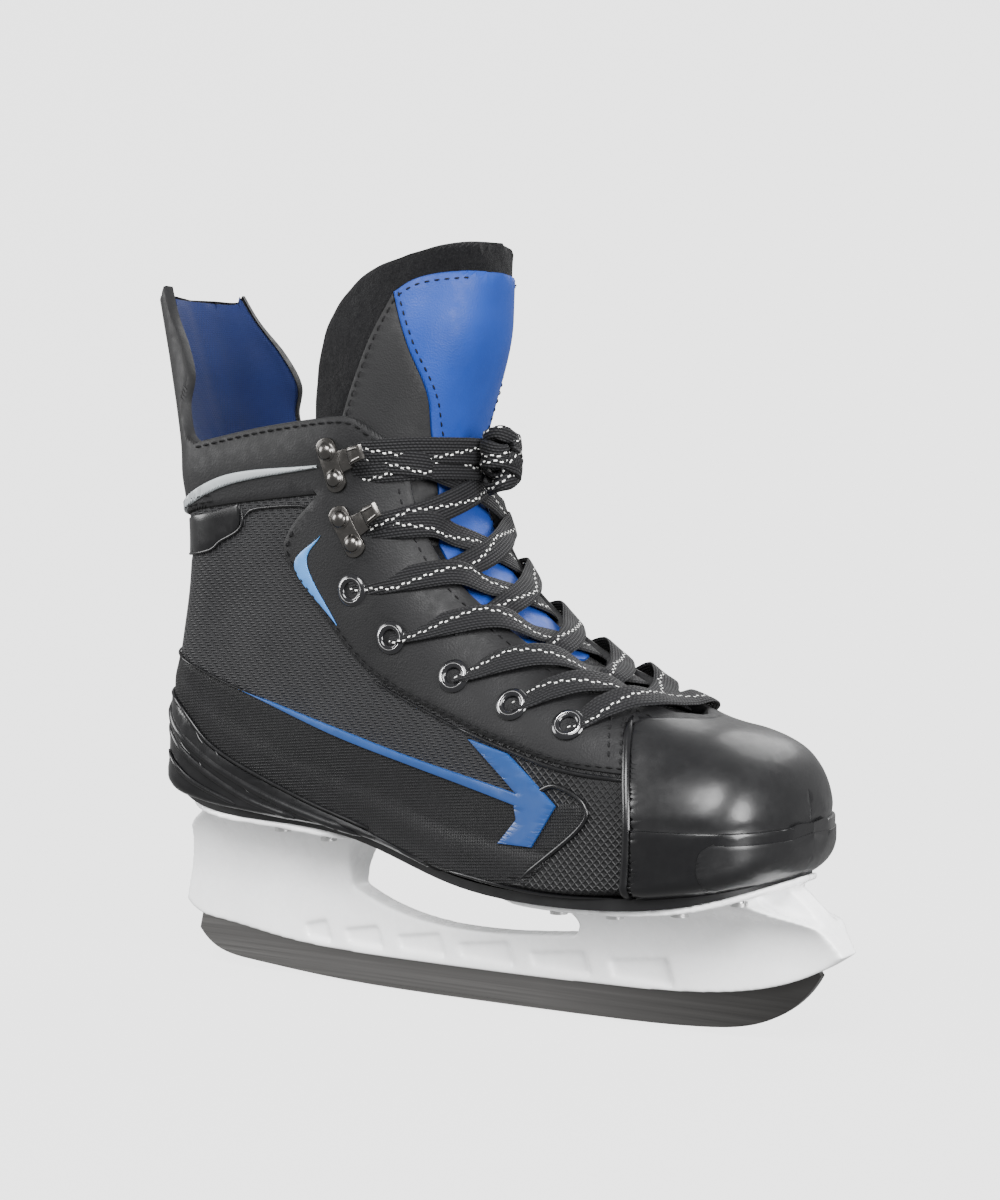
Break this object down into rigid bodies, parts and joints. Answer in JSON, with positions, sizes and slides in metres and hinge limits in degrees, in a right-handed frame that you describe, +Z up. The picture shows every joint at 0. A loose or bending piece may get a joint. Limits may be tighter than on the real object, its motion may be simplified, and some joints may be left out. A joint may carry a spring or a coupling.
{
  "type": "ice hockey skate",
  "caption": "Right laced ice skate: padded boot with moulded heel and toe cap, tongue, tendon guard, hooks and eyelets, on a white blade holder with steel blade.",
  "frame": {"origin": "middle of the blade where it meets the ice", "axes": "+X towards the toe, +Z up, -Y the outer (lateral) side of this right skate"},
  "size_m": [0.2957, 0.0928, 0.288],
  "materials": {
    "moulded_black": "satin gloss",
    "twill": "carbon-look twill under a clear film",
    "mesh_panel": "diamond mesh",
    "synthetic_leather": "matt",
    "blue_lining": "soft knit",
    "foam": "soft foam",
    "piping_grey": "smooth",
    "blue_print": "gloss",
    "light_blue_print": "gloss",
    "felt": "napped felt",
    "blue_leather": "smooth",
    "blade_steel": "brushed lengthwise",
    "holder_white": "gloss",
    "rivet_steel": "plain",
    "nickel": "dark nickel",
    "black_enamel": "gloss enamel",
    "lace": "flat woven with light tracer",
    "board": "fibreboard",
    "outsole_plastic": "satin"
  },
  "bodies": {
    "boot": {"ankle_pad_lateral": "foam", "ankle_pad_medial": "foam", "blade": "blade_steel", "blade_bolts": "rivet_steel", "blade_holder": "holder_white", "collar_lateral": "synthetic_leather", "collar_medial": "synthetic_leather", "crescent_lateral": "light_blue_print", "crescent_medial": "light_blue_print", "eyelets_lateral": "black_enamel", "eyelets_medial": "black_enamel", "facing_lateral": "synthetic_leather", "facing_medial": "synthetic_leather", "footbed": "foam", "heel_counter": "moulded_black", "hook_lower_lateral": "nickel", "hook_lower_medial": "nickel", "hook_rivets_lateral": "nickel", "hook_rivets_medial": "nickel", "hook_upper_lateral": "nickel", "hook_upper_medial": "nickel", "insole_board": "board", "lace_first_bar": "lace", "lace_hook_strands": "lace", "lace_knot": "lace", "lace_strands_lateral": "lace", "lace_strands_medial": "lace", "lace_top_strands": "lace", "lining_lateral": "blue_lining", "lining_medial": "blue_lining", "outsole": "outsole_plastic", "piping_lateral": "piping_grey", "piping_medial": "piping_grey", "quarter_lateral": "twill", "quarter_medial": "twill", "side_guard_lateral": "moulded_black", "side_guard_medial": "moulded_black", "sole_rivets": "rivet_steel", "stripe_lateral": "blue_print", "stripe_medial": "blue_print", "toe_cap": "moulded_black", "tongue_lower": "felt", "vamp_lateral": "mesh_panel", "vamp_medial": "mesh_panel"},
    "tongue_flap": {"tongue_felt": "felt", "tongue_panel": "blue_leather", "tongue_side_lateral": "synthetic_leather", "tongue_side_medial": "synthetic_leather"},
    "tendon_flap": {"tendon_guard": "synthetic_leather", "tendon_guard_lining": "blue_lining"}
  },
  "joints": [
    {"name": "tongue_fold", "type": "hinge", "parent": "boot", "child": "tongue_flap", "pos_m": [0.0065, 0, 0.2192], "axis": [0, 1, 0], "range_deg": [0, 35], "stiffness_Nm_per_rad": 0.6},
    {"name": "tendon_flex", "type": "hinge", "parent": "boot", "child": "tendon_flap", "pos_m": [-0.1275, 0, 0.2262], "axis": [0, 1, 0], "range_deg": [-12, 0], "stiffness_Nm_per_rad": 2}
  ]
}
